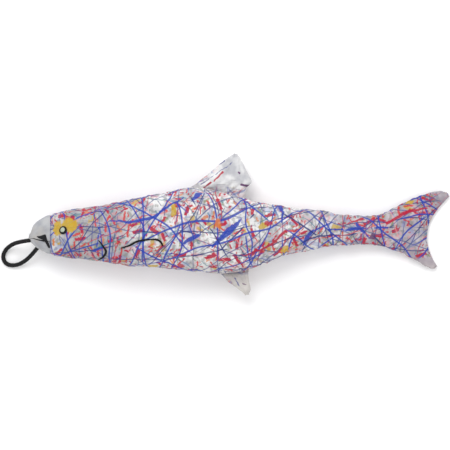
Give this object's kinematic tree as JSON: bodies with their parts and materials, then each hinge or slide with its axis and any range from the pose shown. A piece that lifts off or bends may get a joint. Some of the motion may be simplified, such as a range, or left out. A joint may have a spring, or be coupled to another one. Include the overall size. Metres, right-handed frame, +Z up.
{
  "type": "stuffed cloth carp",
  "caption": "Stuffed cloth carp with padded fins, a bending tail, embroidered eyes, gills and fin lines, and an elastic loop at its mouth.",
  "frame": {"origin": "under the middle of the fish, on the surface that it lies on", "axes": "+X from the nose to the tail, +Y from the belly to the back, +Z up from the surface, out of the fish's left side"},
  "size_m": [0.3374, 0.1047, 0.0409],
  "materials": {
    "printed_cloth": "matte",
    "plain_cloth": "matte",
    "stuffing": "matte",
    "black_thread": "satin",
    "mouth_cloth": "matte",
    "eye_cloth": "matte",
    "elastic": "satin"
  },
  "bodies": {
    "torso": {"body_panel_left": "printed_cloth", "body_panel_right": "printed_cloth", "body_stuffing": "stuffing", "snout_panel_left": "plain_cloth", "snout_panel_right": "plain_cloth", "jaw_panel": "plain_cloth", "mouth_patch_left": "mouth_cloth", "mouth_patch_right": "mouth_cloth", "eye_ring_left": "black_thread", "eye_ring_right": "black_thread", "eye_centre_left": "eye_cloth", "eye_centre_right": "eye_cloth", "gill_stitch_left": "black_thread", "gill_stitch_right": "black_thread", "pectoral_stitch_left": "black_thread", "pectoral_stitch_right": "black_thread"},
    "tail": {"tail_panel_left": "printed_cloth", "tail_panel_right": "printed_cloth", "tail_stuffing": "stuffing"},
    "dorsal_fin": {"dorsal_fin_panel_left": "plain_cloth", "dorsal_fin_panel_right": "plain_cloth", "dorsal_fin_stuffing": "stuffing"},
    "anal_fin": {"anal_fin_panel_left": "plain_cloth", "anal_fin_panel_right": "plain_cloth", "anal_fin_stuffing": "stuffing"},
    "loop": {"elastic_loop": "elastic"}
  },
  "joints": [
    {"name": "tail_bend", "type": "hinge", "parent": "torso", "child": "tail", "pos_m": [0.08199, 0, 0.01008], "axis": [0, -1, 0], "range_deg": [-35, 35], "stiffness_Nm_per_rad": 0.03},
    {"name": "dorsal_fin_flop", "type": "hinge", "parent": "torso", "child": "dorsal_fin", "pos_m": [-0.0371, 0.02801, 0.01889], "axis": [0.9781, -0.2037, -0.0428], "range_deg": [-25, 25], "stiffness_Nm_per_rad": 0.01},
    {"name": "anal_fin_flop", "type": "hinge", "parent": "torso", "child": "anal_fin", "pos_m": [-0.0145, -0.03715, 0.01824], "axis": [0.9878, 0.1414, -0.0651], "range_deg": [-25, 25], "stiffness_Nm_per_rad": 0.006},
    {"name": "loop_swing", "type": "hinge", "parent": "torso", "child": "loop", "pos_m": [-0.1594, -0.0122, 0.0138], "axis": [-0.6016, 0.7704, 0.2111], "range_deg": [0, 90]}
  ]
}
